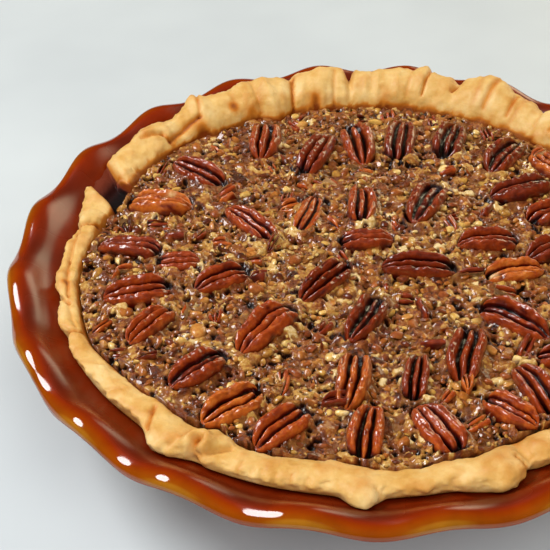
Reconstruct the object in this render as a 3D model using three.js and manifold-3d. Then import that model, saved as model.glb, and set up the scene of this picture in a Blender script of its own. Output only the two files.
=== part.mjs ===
// Pecan pie in its own ruffled, glazed pie dish. Millimetres, +Z up.
// The origin is the middle of the dish's foot, on the table. Bearings are degrees
// counter-clockwise from +X, seen from above; the front of the pie is at -Y.
import * as THREE from 'three';
import { mergeVertices } from 'three/addons/utils/BufferGeometryUtils.js';
import Module from 'manifold-3d';

const wasm = await Module();
wasm.setup();

// ---------------------------------------------------------------- driving dimensions
const FILL_Z = 49.3;            // level of the filling's top
const GAP = 0.35;               // clearance between pieces that touch

const RIM_RADIUS = 142.5;       // dish rim, mean outer radius
const RIM_Z = 52;               // middle of the rim's rounded lip
const RUFFLES = 20;             // waves round the rim
const RUFFLE_LIFT = 2.06;       // half height of a wave
const RUFFLE_SWING = 0.6;       // half of a wave's in-and-out
const RUFFLE_PHASE = 7.6;       // bearing of the first outward swing
const RUFFLE_LAG = -58;         // phase of the lift behind the swing, degrees of one wave

const CRUST_WALL = 4;           // pastry thickness below the rim
const PASTRY_FLOOR_Z = 6.4;     // underside of the pastry, on the dish's floor
const PASTRY_TOP_Z = PASTRY_FLOOR_Z + CRUST_WALL;
const FILLING_FLOOR_Z = PASTRY_TOP_Z + GAP;

const WALL_STEPS = 40;          // facets round the plain walls
const RIM_STEPS = 120;          // facets round whatever is ruffled or folded

// Course of the pastry rim: bearing, inner radius at the filling, outer radius, crest height
// above the filling. It is low and narrow on the left, tall at the back, wide in front.
const RIM_COURSE = [
  [0, 111, 127, 7.5], [45, 111, 130.5, 9.8], [70, 111, 131.4, 10.6], [95, 110, 131.4, 10.4],
  [113, 110, 131.6, 10], [124, 111.3, 131, 9.2], [136, 113, 130.5, 7], [150, 112.5, 129.8, 5.6],
  [158, 110, 127.5, 5], [164, 108, 125.6, 3.6], [173, 111.2, 120.6, 3.2], [190, 114.6, 122.4, 3],
  [208, 115.8, 124.3, 3], [220, 112.4, 123.5, 3.2], [230, 110.3, 122.6, 3.4], [240, 111.2, 126.6, 4],
  [255, 111.8, 125.4, 4], [266, 110, 124.6, 4.4], [277, 113.6, 125, 4], [289, 111.5, 126.6, 5],
  [300, 111, 125.2, 5], [320, 111, 125, 6], [340, 111, 126, 7],
];

// Folds, lumps and creases on that course: bearing, half width in degrees, then how far
// each moves the outer edge out, the crest up and the inner edge in.
const RIM_FOLDS = [
  [14, 4, 2, 1, 0], [26, 1.6, -3.5, -3, 0], [38, 4, 1.5, 0.8, 0], [51, 1.6, -2.5, -2, 0],
  [63, 3.6, 2.4, 1.2, 0], [70.5, 1.2, -2.4, -1.9, 0], [77.5, 2, 2, 0.8, 0],
  [94.3, 0.8, -4.5, -4, 0], [98.6, 2.6, 0.6, 0.4, 0], [107.4, 1.1, -1.5, -1.2, 0],
  [112.6, 2.2, 0.6, 0.9, 4], [128.8, 2.3, 2.6, 2.2, 1.5], [136, 2, -1.5, -1.2, 0],
  [143, 2.5, 1, 0.6, 0], [162.4, 1.5, 2.6, 0, 0], [172, 2.5, 0.8, 1.6, 0],
  [191, 2.4, 1.2, 0.5, 0], [201, 1.6, 1, 0, 0], [206, 1.4, -1.4, 0, 0], [237, 3.6, 4, 1, 0],
  [243.5, 2.2, -1, 2.4, 2.8], [270.4, 2.6, 6.2, 0.4, 0], [283.5, 2, -1.6, 0, 0],
  [292, 3, 4.6, 1.6, 0], [297.2, 1.3, -2.6, -3, 0], [312, 4, 2, 1, 0],
  [325, 1.6, -3, -2.5, 0], [336, 4, 1.5, 0.8, 0], [350, 1.6, -3, -2.5, 0],
];

// The split in the rim: bearing and radius of its four corners, and how deep it goes.
const SPLIT_CORNERS = [[152.8, 133], [158.8, 133], [166.4, 103], [161.4, 103]];
const SPLIT_DEPTH = 12;

// Pecan halves on top: x, y, bearing of the long axis, length, width, height.
const PECANS = [
  [-46.5, 79.5, 90, 28, 15, 6.5], [-22, 69, 70, 32, 14, 7], [-4, 78, 102, 32, 15, 7],
  [15, 82, 84, 31, 15, 6], [37.5, 82, 75, 28, 15, 6.5], [61, 70, 57, 27, 15, 7],
  [67, 45, 22, 30, 15, 7], [79, 29, 25, 26, 14, 6.5], [-74, 54, -32, 28, 14, 6],
  [-88, 29.5, -3, 28, 15, 7], [-48, 18, -43, 29, 13, 6], [-96, 0, -3, 27, 14, 5.5],
  [-75, -8, 3, 18, 11, 4], [-88, -27.5, 18, 28, 14, 6.5], [-56, -18, 30, 24, 13, 6],
  [-80.5, -46.5, 55, 24, 12, 6.5], [-24, 26, 76, 26, 11, 3.6], [-2, 32.5, 90, 25, 13, 6.5],
  [25, 34.5, 70, 29, 15, 7], [0.5, 7.5, 6, 24, 12, 6], [50, 8.5, 7, 25, 13, 6.5],
  [76, 5, 35, 27, 14, 6.5], [22, -8.5, 0, 31, 13, 7], [59, -10.5, 12, 24, 12, 6],
  [-15.5, -18.5, 54, 30, 13, 7], [1, -39.5, 68, 28, 13, 7], [57, -38.5, -35, 30, 14, 6.5],
  [-36, -47, 55, 32, 15, 7.5], [38, -58, 78, 29, 14, 7], [19.3, -70.5, 83, 24, 10, 6],
  [-3, -73, 83, 28, 13, 7], [62, -75, -63, 26, 13, 6.5], [2, -97.5, 83, 25, 13, 7],
  [26.5, -94.5, -58, 24, 16, 5.5], [51.5, -86, -38, 22, 12, 6], [-27, -96.5, 48, 25, 14, 6],
  [-59.5, -69.5, 46, 25, 14, 7], [-45.5, -87, 40, 25, 14, 6.5],
  [81, 61.5, -50, 26, 13, 6.5], [98.5, 30, -72, 25, 13, 6], [97, 3.5, 80, 26, 14, 7],
  [88, -18, 15, 27, 14, 6.5], [94, -44, 66, 28, 14, 6.5], [75.5, -60, -15, 25, 13, 6],
];

// Chopped nut bits fused to the filling: length and how many places are tried, largest first.
const BIT_SIZES = [[10, 70], [7.5, 220], [5.5, 310]];
const BIT_SEED = 20;

// ---------------------------------------------------------------- materials
const GLAZE = new THREE.MeshStandardMaterial({ name: 'glaze', color: 0x8a3208, roughness: 0.12 });
const PASTRY = new THREE.MeshStandardMaterial({ name: 'pastry', color: 0xf0c274, roughness: 0.65 });
const CUSTARD = new THREE.MeshStandardMaterial({ name: 'custard', color: 0x6e4526, roughness: 0.35 });
const NUT = new THREE.MeshStandardMaterial({ name: 'nut', color: 0x7e3214, roughness: 0.3 });

// ---------------------------------------------------------------- small helpers
const radians = THREE.MathUtils.degToRad;
const mix = THREE.MathUtils.lerp;

function randomFrom(seed) {
  let state = seed;
  return () => {
    state = (state * 1664525 + 1013904223) % 4294967296;
    return state / 4294967296;
  };
}

// A closed ring of points; place(bearing) gives [radius, height].
function ring(steps, place) {
  return Array.from({ length: steps }, (_, i) => {
    const bearing = (360 * i) / steps;
    const [radius, height] = place(bearing);
    return [radius * Math.cos(radians(bearing)), radius * Math.sin(radians(bearing)), height];
  });
}

// The closed skin through a stack of rings. The first and last are single points. The
// stack runs from the underside, up the outside and over to the top.
function skin(rings) {
  const starts = [];
  let count = 0;
  for (const points of rings) {
    starts.push(count);
    count += points.length;
  }
  const index = [];
  for (let r = 0; r + 1 < rings.length; r++) {
    const [n, m] = [rings[r].length, rings[r + 1].length];
    const low = (i) => starts[r] + (i % n);
    const high = (j) => starts[r + 1] + (j % m);
    const [lowSteps, highSteps] = [n === 1 ? 0 : n, m === 1 ? 0 : m];
    let [i, j] = [0, 0];
    while (i < lowSteps || j < highSteps) {
      const lead = (j + 1) / m - (i + 1) / n;
      const lowIsNext = lead > 0 || (lead === 0 && n >= m);
      if (j >= highSteps || (i < lowSteps && lowIsNext)) {
        index.push(low(i), low(i + 1), high(j));
        i += 1;
      } else {
        index.push(low(i), high(j + 1), high(j));
        j += 1;
      }
    }
  }
  const geometry = new THREE.BufferGeometry();
  geometry.setAttribute('position', new THREE.Float32BufferAttribute(rings.flat(2), 3));
  geometry.setIndex(index);
  return geometry;
}

function toSolid(geometry) {
  return new wasm.Manifold(new wasm.Mesh({
    numProp: 3,
    vertProperties: new Float32Array(geometry.attributes.position.array),
    triVerts: new Uint32Array(geometry.index.array),
  }));
}

function fromSolid(solid) {
  const mesh = solid.getMesh();
  const geometry = new THREE.BufferGeometry();
  geometry.setAttribute('position', new THREE.BufferAttribute(mesh.vertProperties, 3));
  geometry.setIndex(new THREE.BufferAttribute(mesh.triVerts, 1));
  return geometry;
}

function named(name, geometry, material) {
  geometry.computeVertexNormals();
  const mesh = new THREE.Mesh(geometry, material);
  mesh.name = name;
  return mesh;
}

// ---------------------------------------------------------------- dish
// Each profile point is [radius, height, share of the ruffle that it takes].
const DISH_FOOT = [[93, 0, 0], [100, 3.5, 0], [104, 12, 0], [118.8, 37.5, 0]];
const DISH_LIP = [
  [124.5, RIM_Z - 9.7, 0.1], [140.4, RIM_Z - 3, 1], [RIM_RADIUS, RIM_Z - 1, 1],
  [141.4, RIM_Z + 1.2, 1], [137.5, RIM_Z + 2.3, 0.95], [133.2, RIM_Z + 0.6, 0.75],
  [128.5, RIM_Z - 3.4, 0.35], [122, RIM_Z - 6.8, 0.1],
];
const DISH_INSIDE = [[114, 38, 0], [99, 14, 0], [94, 8, 0], [87, 6, 0]];

function ruffled([radius, height, share]) {
  return (bearing) => {
    const turn = radians(RUFFLES * (bearing - RUFFLE_PHASE));
    return [
      radius + share * RUFFLE_SWING * Math.cos(turn),
      height + share * RUFFLE_LIFT * Math.cos(turn + radians(RUFFLE_LAG)),
    ];
  };
}

function dishGeometry() {
  return skin([
    [[0, 0, 0]],
    ...DISH_FOOT.map((point) => ring(WALL_STEPS, ruffled(point))),
    ...DISH_LIP.map((point) => ring(RIM_STEPS, ruffled(point))),
    ...DISH_INSIDE.map((point) => ring(WALL_STEPS, ruffled(point))),
    [[0, 0, DISH_INSIDE.at(-1)[1]]],
  ]);
}

// Height of the dish's inner surface at a radius on its wall or flange.
function dishSurface(radius, bearing) {
  const inner = [...DISH_INSIDE].reverse().concat([...DISH_LIP.slice(4)].reverse());
  const next = Math.max(1, inner.findIndex((point) => point[0] >= radius));
  const [near, far] = [inner[next - 1], inner[next]];
  const along = (radius - near[0]) / (far[0] - near[0]);
  const point = near.map((value, i) => mix(value, far[i], along));
  return ruffled(point)(bearing)[1];
}

// ---------------------------------------------------------------- pastry
function turnBetween(a, b) {
  return Math.abs(((a - b + 540) % 360) - 180);
}

// Inner radius, outer radius and crest height of the pastry rim at a bearing.
function rimAt(bearing) {
  const last = RIM_COURSE.length - 1;
  const k = RIM_COURSE.findLastIndex((row) => row[0] <= bearing);
  const here = RIM_COURSE[k];
  const next = k === last ? [360, ...RIM_COURSE[0].slice(1)] : RIM_COURSE[k + 1];
  const along = THREE.MathUtils.smoothstep(bearing, here[0], next[0]);
  let [, inner, outer, crest] = here.map((value, i) => mix(value, next[i], along));
  for (const [at, halfWidth, out, up, inward] of RIM_FOLDS) {
    const share = Math.exp(-((turnBetween(bearing, at) / halfWidth) ** 2));
    outer += out * share;
    crest += up * share;
    inner -= inward * share;
  }
  return { inner, outer, crest };
}

// Points over the rim from the flange to the filling: share of the rim's width, share of
// its crest height. The pastry is fullest towards the outside.
const RIM_PROFILE = [[1, 0.45], [0.9, 0.86], [0.68, 1], [0.42, 0.86], [0.17, 0.45]];
const INNER_DROP = 2.5;         // the rim's inner face reaches this far below the filling
const SEAT_RADIUS = 122;        // where the pastry leaves the dish's wall for its flange
const SEAT_INSET = 3.5;         // least distance from that place to the rim's outer edge
const EDGE_INSET = 1.2;         // the rim's underside turns up this far inside that edge
const EDGE_RISE = 1.5;          // least rise from the seat to where it turns up
const EDGE_THICKNESS = 1;       // least thickness of the rim over that underside

// The shell under the rim, radius and height: its outside from the floor up, then its
// inside from the filling's wall down. KNEE is where the wall turns into the floor.
const KNEE = [98.4, 14.3];
const SHELL_OUTSIDE = [[86.8, PASTRY_FLOOR_Z], [93.4, PASTRY_FLOOR_Z + 2], KNEE];
const SHELL_WALL_TOP = [112.6, 37.6];
const SHELL_INSIDE = [
  [KNEE[0] - CRUST_WALL, KNEE[1] + 1.7], [91, PASTRY_TOP_Z + 1.5], [85, PASTRY_TOP_Z],
];

function crustGeometry() {
  const seat = (bearing) => {
    const radius = Math.min(SEAT_RADIUS, rimAt(bearing).outer - SEAT_INSET);
    return [radius, dishSurface(radius, bearing) + 3 * GAP];
  };
  const underLip = (bearing) => {
    const radius = rimAt(bearing).outer - EDGE_INSET;
    const clear = dishSurface(radius, bearing) + 2 * GAP;
    return [radius, Math.max(clear, seat(bearing)[1] + EDGE_RISE)];
  };
  const over = ([across, rise]) => (bearing) => {
    const { inner, outer, crest } = rimAt(bearing);
    const base = Math.max(FILL_Z, underLip(bearing)[1]);
    const height = mix(FILL_Z, base, across) + rise * crest;
    const least = underLip(bearing)[1] + EDGE_THICKNESS;
    return [mix(inner, outer, across), Math.max(height, least)];
  };
  return skin([
    [[0, 0, PASTRY_FLOOR_Z]],
    ...SHELL_OUTSIDE.map((point) => ring(WALL_STEPS, () => point)),
    ring(RIM_STEPS, () => SHELL_WALL_TOP),
    ring(RIM_STEPS, seat),
    ring(RIM_STEPS, underLip),
    ...RIM_PROFILE.map((point) => ring(RIM_STEPS, over(point))),
    ring(RIM_STEPS, (bearing) => [rimAt(bearing).inner, FILL_Z - INNER_DROP]),
    ...SHELL_INSIDE.map((point) => ring(WALL_STEPS, () => point)),
    [[0, 0, PASTRY_TOP_Z]],
  ]);
}

// A tapered prism that parts the rim where the pastry has split.
function splitSolid() {
  const outline = new THREE.Shape(SPLIT_CORNERS.map(([bearing, radius]) => new THREE.Vector2(
    radius * Math.cos(radians(bearing)), radius * Math.sin(radians(bearing)))));
  const prism = new THREE.ExtrudeGeometry(outline, { depth: 3 * SPLIT_DEPTH, bevelEnabled: false });
  prism.translate(0, 0, FILL_Z - SPLIT_DEPTH);
  return toSolid(merged(prism));
}

function merged(geometry) {
  geometry.deleteAttribute('normal');
  geometry.deleteAttribute('uv');
  return mergeVertices(geometry);
}

// ---------------------------------------------------------------- filling
// The baked top dips by up to twice RELIEF below its level, in swells about 30 mm apart.
const RELIEF = 0.45;
const FILLING_UNDERSIDE = [
  [84.6, FILLING_FLOOR_Z], [90.5, FILLING_FLOOR_Z + 1.5], [94, KNEE[1] + 1.9],
];
// Rings over the top: facets, share of the radius.
const TOP_RINGS = [
  [RIM_STEPS, 1], [60, 0.92], [48, 0.76], [40, 0.6], [30, 0.43], [20, 0.27], [10, 0.12],
];

function reliefAt(x, y) {
  return -RELIEF * (1 + Math.sin(0.21 * x + 1.3) * Math.sin(0.19 * y + 0.4));
}

function fillingBody() {
  const edge = (bearing) => rimAt(bearing).inner - GAP;
  const topRing = ([steps, share]) => ring(steps, (bearing) => {
    const radius = share * edge(bearing);
    const [x, y] = [radius * Math.cos(radians(bearing)), radius * Math.sin(radians(bearing))];
    return [radius, FILL_Z + reliefAt(x, y)];
  });
  return skin([
    [[0, 0, FILLING_FLOOR_Z]],
    ...FILLING_UNDERSIDE.map((point) => ring(WALL_STEPS, () => point)),
    ring(RIM_STEPS, (bearing) => [edge(bearing), FILL_Z - INNER_DROP]),
    ...TOP_RINGS.map(topRing),
    [[0, 0, FILL_Z + reliefAt(0, 0)]],
  ]);
}

// Distance from a point to the middle stretch of a pecan half's long axis.
function distanceToPecan(x, y, [px, py, turn, length]) {
  const [dx, dy] = [Math.cos(radians(turn)), Math.sin(radians(turn))];
  const reach = AXIS_REACH * length;
  const along = THREE.MathUtils.clamp((x - px) * dx + (y - py) * dy, -reach, reach);
  return Math.hypot(x - px - along * dx, y - py - along * dy);
}

// Places for the chopped bits: each size is tried on its own sunflower spiral, and a
// place is kept where it is clear of the rim, the pecan halves and the bits before it.
const AXIS_REACH = 0.36;        // share of a half's length that its long axis counts for
const SPIRAL_RADIUS = 113;
const SPIRAL_TURN = 137.508;    // degrees from one place on a spiral to the next
const SIZE_TURN = 47;           // degrees from one size's spiral to the next
const BIT_CLEARANCE = 0.5;
const RIM_CLEARANCE = 1;

function bitPlaces(random) {
  const places = [];
  BIT_SIZES.forEach(([length, tries], size) => {
    for (let k = 0; k < tries; k++) {
      const radius = SPIRAL_RADIUS * Math.sqrt((k + 0.5) / tries);
      const bearing = (SPIRAL_TURN * k + SIZE_TURN * size) % 360;
      const [x, y] = [radius * Math.cos(radians(bearing)), radius * Math.sin(radians(bearing))];
      const clearOfRim = radius + length / 2 + RIM_CLEARANCE < rimAt(bearing).inner;
      const clearOfPecans = PECANS.every((pecan) => (
        distanceToPecan(x, y, pecan) > (pecan[4] + length) / 2 + BIT_CLEARANCE));
      const clearOfBits = places.every((bit) => (
        Math.hypot(x - bit.x, y - bit.y) > (length + bit.length) / 2 + BIT_CLEARANCE));
      const turn = 360 * random();
      if (clearOfRim && clearOfPecans && clearOfBits) {
        places.push({ x, y, length, turn });
      }
    }
  });
  return places;
}

// One chopped bit: an uneven lump, longer than it is wide, half sunk in the custard. The
// half width and half height are shares of its length, drawn between these two.
const BIT_HALF_WIDTH = [0.28, 0.42];
const BIT_HALF_HEIGHT = [0.24, 0.34];
const BIT_LEAST_SWELL = 0.82;

function bitSolid({ x, y, length, turn }, random) {
  const lump = merged(new THREE.IcosahedronGeometry(1, 0));
  const corners = lump.attributes.position;
  for (let i = 0; i < corners.count; i++) {
    const swell = mix(BIT_LEAST_SWELL, 1, random());
    corners.setXYZ(i, corners.getX(i) * swell, corners.getY(i) * swell, corners.getZ(i) * swell);
  }
  const halfWidth = length * mix(...BIT_HALF_WIDTH, random());
  const halfHeight = length * mix(...BIT_HALF_HEIGHT, random());
  lump.scale(length / 2, halfWidth, halfHeight);
  lump.rotateZ(radians(turn));
  lump.translate(x, y, FILL_Z);
  return toSolid(lump);
}

function fillingGeometry() {
  const random = randomFrom(BIT_SEED);
  const bits = bitPlaces(random).map((place) => bitSolid(place, random));
  return fromSolid(bits.reduce((body, bit) => body.add(bit), toSolid(fillingBody())));
}

// ---------------------------------------------------------------- pecan halves
// Across a half: share of the half width, share of the height. Two deep grooves part the
// middle ridge from the lobe on either side.
const PECAN_SECTION = [
  [-1, 0], [-0.9, 0.62], [-0.64, 1], [-0.35, 0.5], [0, 0.88], [0.35, 0.5], [0.64, 1],
  [0.9, 0.62], [1, 0],
];
const PECAN_STATIONS = [-0.84, -0.45, 0, 0.45, 0.84];   // from end to end, -1 to 1
const OUTLINE_POWER = 2.5;      // a higher power gives blunter ends
const RISE_POWER = 3;
const TIP_RISE = 0.12;          // height of the two tips, a share of the whole height

function pecanGeometry(length, width, height) {
  const station = (t) => {
    const half = (width / 2) * (1 - Math.abs(t) ** OUTLINE_POWER) ** 0.5;
    const rise = height * (1 - Math.abs(t) ** RISE_POWER) ** 0.5;
    return PECAN_SECTION.map(([across, up]) => [(t * length) / 2, -across * half, up * rise]);
  };
  const tip = (side) => [[side * length / 2, 0, TIP_RISE * height]];
  return skin([tip(-1), ...PECAN_STATIONS.map(station), tip(1)]);
}

function pecanHalf([x, y, turn, length, width, height], number) {
  const name = `pecan_${String(number + 1).padStart(2, '0')}`;
  const half = named(name, pecanGeometry(length, width, height), NUT);
  half.position.set(x, y, FILL_Z + GAP);
  half.rotation.z = radians(turn);
  return half;
}

// ---------------------------------------------------------------- the whole pie
const pie = new THREE.Group();
pie.add(named('dish', dishGeometry(), GLAZE));
pie.add(named('crust', fromSolid(toSolid(crustGeometry()).subtract(splitSolid())), PASTRY));
pie.add(named('filling', fillingGeometry(), CUSTARD));
const toppings = new THREE.Group();
PECANS.forEach((pecan, number) => toppings.add(pecanHalf(pecan, number)));
pie.add(toppings);

export default pie;
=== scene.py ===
# Looks of the pecan pie in its ruffled, glazed dish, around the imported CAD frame. Lengths are
# in mm, as in the part's source, until a mesh is made. Bearings are degrees counter-clockwise
# from +X; the front is at -Y.
from math import cos, dist, pi, radians, sin, sqrt, tau

import bmesh
import bpy
import numpy as np
from mathutils import Matrix, Vector, noise


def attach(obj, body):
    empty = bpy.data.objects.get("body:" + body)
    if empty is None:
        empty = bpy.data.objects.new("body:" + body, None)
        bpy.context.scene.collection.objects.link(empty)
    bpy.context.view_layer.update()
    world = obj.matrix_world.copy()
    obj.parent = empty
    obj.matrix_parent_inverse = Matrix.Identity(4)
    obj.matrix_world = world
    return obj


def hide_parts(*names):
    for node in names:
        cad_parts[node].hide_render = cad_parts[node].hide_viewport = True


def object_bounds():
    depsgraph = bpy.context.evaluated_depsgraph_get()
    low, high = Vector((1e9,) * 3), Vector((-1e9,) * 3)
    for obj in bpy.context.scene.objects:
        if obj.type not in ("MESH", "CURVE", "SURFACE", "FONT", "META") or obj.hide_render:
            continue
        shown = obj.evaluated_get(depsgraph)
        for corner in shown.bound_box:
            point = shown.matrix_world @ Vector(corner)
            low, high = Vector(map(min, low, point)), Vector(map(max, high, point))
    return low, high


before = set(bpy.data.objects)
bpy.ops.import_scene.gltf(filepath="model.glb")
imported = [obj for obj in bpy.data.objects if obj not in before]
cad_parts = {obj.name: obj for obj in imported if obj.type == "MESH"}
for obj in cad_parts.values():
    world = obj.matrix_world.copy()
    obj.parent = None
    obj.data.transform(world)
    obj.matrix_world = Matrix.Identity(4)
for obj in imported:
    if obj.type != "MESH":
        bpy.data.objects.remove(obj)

CAD_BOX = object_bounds()
MM = 0.001
CAD_REACH, CAD_TOP = CAD_BOX[1][0] / MM, CAD_BOX[1][2] / MM  # half width, top
BODY = "root"

# ---- dimensions
FILL_Z = 49.3  # the filling's top
GAP = 0.35  # clearance between CAD pieces
RIM_Z = 52  # middle of the dish's rounded lip
RIM_RADIUS = 142.5
RUFFLES = 20  # waves round the lip
RUFFLE_LIFT = 2.06  # half height of a wave
RUFFLE_SWING = 0.6  # half its in-and-out
RUFFLE_PHASE = 7.6  # bearing of the first outward swing
RUFFLE_LAG = -58  # phase of the lift behind the swing

# Dish profile: radius, height, share of the ruffle.
DISH_FOOT = [[93, 0, 0], [100, 3.5, 0], [104, 12, 0], [118.8, 37.5, 0]]
DISH_LIP = [
    [124.5, RIM_Z - 9.7, 0.1], [140.4, RIM_Z - 3, 1], [RIM_RADIUS, RIM_Z - 1, 1],
    [141.4, RIM_Z + 1.2, 1], [137.5, RIM_Z + 2.3, 0.95], [133.2, RIM_Z + 0.6, 0.75],
    [128.5, RIM_Z - 3.4, 0.35], [122, RIM_Z - 6.8, 0.1],
]
DISH_INSIDE = [[114, 38, 0], [99, 14, 0], [94, 8, 0], [87, 6, 0]]

# Course of the pastry rim: bearing, inner radius, outer radius, crest height.
RIM_COURSE = [
    [0, 111, 127, 7.5], [45, 111, 130.5, 9.8], [70, 111, 131.4, 10.6], [95, 110, 131.4, 10.4],
    [113, 110, 131.6, 10], [124, 111.3, 131, 9.2], [136, 113, 130.5, 7],
    [150, 112.5, 129.8, 5.6], [158, 110, 127.5, 5], [164, 108, 125.6, 3.6],
    [173, 111.2, 120.6, 3.2], [190, 114.6, 122.4, 3], [208, 115.8, 124.3, 3],
    [220, 112.4, 123.5, 3.2], [230, 110.3, 122.6, 3.4], [240, 111.2, 126.6, 4],
    [255, 111.8, 125.4, 4], [266, 110, 124.6, 4.4], [277, 113.6, 125, 4],
    [289, 111.5, 126.6, 5], [300, 111, 125.2, 5], [320, 111, 125, 6], [340, 111, 126, 7],
]
# Folds and creases on it: bearing, half width in degrees, and how far they move the outer
# edge out, the crest up and the inner edge in.
RIM_FOLDS = [
    [14, 4, 2, 1, 0], [26, 1.6, -3.5, -3, 0], [38, 4, 1.5, 0.8, 0], [51, 1.6, -2.5, -2, 0],
    [63, 3.6, 2.4, 1.2, 0], [70.5, 1.2, -2.4, -1.9, 0], [77.5, 2, 2, 0.8, 0],
    [94.3, 0.8, -4.5, -4, 0], [98.6, 2.6, 0.6, 0.4, 0], [107.4, 1.1, -1.5, -1.2, 0],
    [112.6, 2.2, 0.6, 0.9, 4], [128.8, 2.3, 2.6, 2.2, 1.5], [136, 2, -1.5, -1.2, 0],
    [143, 2.5, 1, 0.6, 0], [162.4, 1.5, 2.6, 0, 0], [172, 2.5, 0.8, 1.6, 0],
    [191, 2.4, 1.2, 0.5, 0], [201, 1.6, 1, 0, 0], [206, 1.4, -1.4, 0, 0], [237, 3.6, 4, 1, 0],
    [243.5, 2.2, -1, 2.4, 2.8], [270.4, 2.6, 6.2, 0.4, 0], [283.5, 2, -1.6, 0, 0],
    [292, 3, 4.6, 1.6, 0], [297.2, 1.3, -2.6, -3, 0], [312, 4, 2, 1, 0],
    [325, 1.6, -3, -2.5, 0], [336, 4, 1.5, 0.8, 0], [350, 1.6, -3, -2.5, 0],
]
# Its section from the outer edge inward: share of the width, share of the crest height.
RIM_PROFILE = [[1, 0.45], [0.9, 0.86], [0.68, 1], [0.42, 0.86], [0.17, 0.45]]
# Finer lines on it: bearing and share of the width at either end, half width, how deep (a
# ridge where below 0) and how brown: toast, and painted shade in the creases.
RIM_LINES = [
    [127.6, 1, 130.6, 0.35, 0.8, 1.4, 0.3], [130.6, 0.35, 140, 0.2, 1.3, 1.6, 0.8],
    [144.6, 0.7, 140.6, 0.42, 0.8, 1.4, 0.35], [140.6, 0.42, 140, 0.23, 0.8, 1.3, 0.5],
    [146, 0.85, 139, 0.52, 2, -1.1, 0], [137, 0.62, 131.5, 0.7, 1.8, -0.8, 0],
    [115.8, 0.85, 116.2, 0.12, 1.1, 1.2, 0.12], [106.8, 0.8, 108.4, 0, 0.9, 2.2, 0.7],
    [113.4, 0.75, 113.6, 0.25, 2.2, -1.3, 0], [110, 0.6, 110.2, 0.15, 1.8, -0.7, 0],
    [76.3, 1.05, 77.4, 0.22, 0.7, 1.8, 0.6], [69.8, 0.8, 71, 0.48, 0.9, 1.8, 0.5],
    [100.6, 0.8, 100.8, 0.2, 2, -0.8, 0], [97.4, 0.75, 98.2, 0.1, 1, 0.9, 0.2],
    [90.6, 0.75, 90.6, 0.25, 1.2, -0.7, 0], [87.8, 0.75, 87.8, 0.25, 1, -0.6, 0],
    [89.2, 0.9, 89.2, 0.3, 0.7, 0.6, 0.1], [83.2, 0.8, 83.4, 0.2, 1.5, -0.7, 0],
    [80.4, 0.9, 81, 0.2, 0.9, 0.7, 0.15], [121, 0.9, 121.4, 0.45, 1.4, 0.7, 0.1],
    [173.6, 0.98, 176.8, 0.82, 1, 1.4, 0.15], [176.8, 0.82, 185.4, 0.63, 1, 1.5, 0.2],
    [185.4, 0.63, 195.6, 0.53, 1, 1.3, 0.3], [195.6, 0.53, 205, 0.5, 0.8, 0.6, 0.1],
    [179, 0.95, 190, 0.86, 1.6, -0.7, 0], [174.4, 0.9, 172.6, 0, 0.9, 1.7, 0.4],
    [195.2, 1.08, 198, 0.47, 0.7, 1.5, 0.25], [205.6, 1.08, 206.2, 0.2, 0.8, 1.7, 0.3],
    [231.4, 0.4, 234.4, 0.9, 0.9, 1.5, 0.45], [244, 1.02, 248.4, 0.42, 0.9, 1.8, 0.15],
    [245.8, 0.5, 247, 0.36, 3, -1.7, 0], [239.4, 0.9, 241, 0.3, 1.2, 0.8, 0.1],
    [251.2, 1.08, 251.4, 0.68, 0.5, 1, 0.1], [253.2, 1.08, 253.4, 0.8, 0.5, 0.9, 0.1],
    [255, 1.08, 255, 0.76, 0.5, 1, 0.1], [257.2, 1.08, 257.2, 0.8, 0.5, 0.9, 0.1],
    [259.8, 1.08, 259.6, 0.78, 0.5, 0.9, 0.1], [262, 1.08, 262.2, 0.85, 0.6, 1, 0.1],
    [273.4, 1.08, 272.6, 0.8, 0.9, 2, 0.1], [284.4, 1.08, 284.6, 0.88, 1.6, 1.6, 0.1],
    [296.2, 1.08, 295.2, 0.6, 0.9, 2, 0.25], [222, 1.05, 224, 0.6, 0.8, 0.7, 0.1],
    [214, 0.95, 216, 0.3, 1.2, 0.6, 0.1],
]
UNSEEN_LINES, UNSEEN_FROM, UNSEEN_TO = 30, -53, 66  # random ones, out of the photo
# A curl of dough open to the outside: bearing, share of the width, its ridge's radius and
# half width.
RIM_CURL = [243.2, 0.74, 3.7, 1.9]
# Browned spots: bearing, share of the width, radius, how brown.
RIM_SPOTS = [
    [122.2, 0.32, 2.2, 0.9], [102.6, 0.14, 2.6, 0.8], [131.4, 0.1, 3, 0.6], [118, 0.05, 3, 0.7],
    [192, 0.58, 1.6, 0.5], [232, 0.6, 1.8, 0.3], [86, 0.04, 2.5, 0.5], [300, 0.5, 18, 0.12],
]
INNER_DROP = 2.5  # the rim's inner face reaches this far below the filling
SEAT_RADIUS = 122  # where the rim's underside leaves the dish's wall
SEAT_INSET = 3.5  # least distance from there to the outer edge
EDGE_INSET, EDGE_RISE = 1.2, 1.5  # where it turns up, from that edge and the seat
TOP_EASE = 1.6  # crests start to bend over so far below the CAD's top
# The pastry below the rim, on the dish and under the filling: radius, height.
SHELL_OUTSIDE = [[86.8, 6.4], [93.4, 8.4], [98.4, 14.3], [112.6, 37.6]]
SHELL_INSIDE = [[94.4, 16], [91, 11.9], [85, 10.4]]

# The split in the rim: bearing and radius of its four corners.
SPLIT_CORNERS = [[152.8, 133], [158.8, 133], [166.4, 103], [161.4, 103]]
SPLIT_ROUND = 5.5  # the pastry rounds over this far from it
SPLIT_CUT_BACK = 2.6  # how much wider it is at the filling
SPLIT_REACH = 100  # it parts the pastry beyond this radius
SPLIT_DEPTH = 5  # its bottom lies so far below the filling, or on the dish
SPLIT_CLEAR = 1.1  # least height of its bottom over the dish

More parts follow.
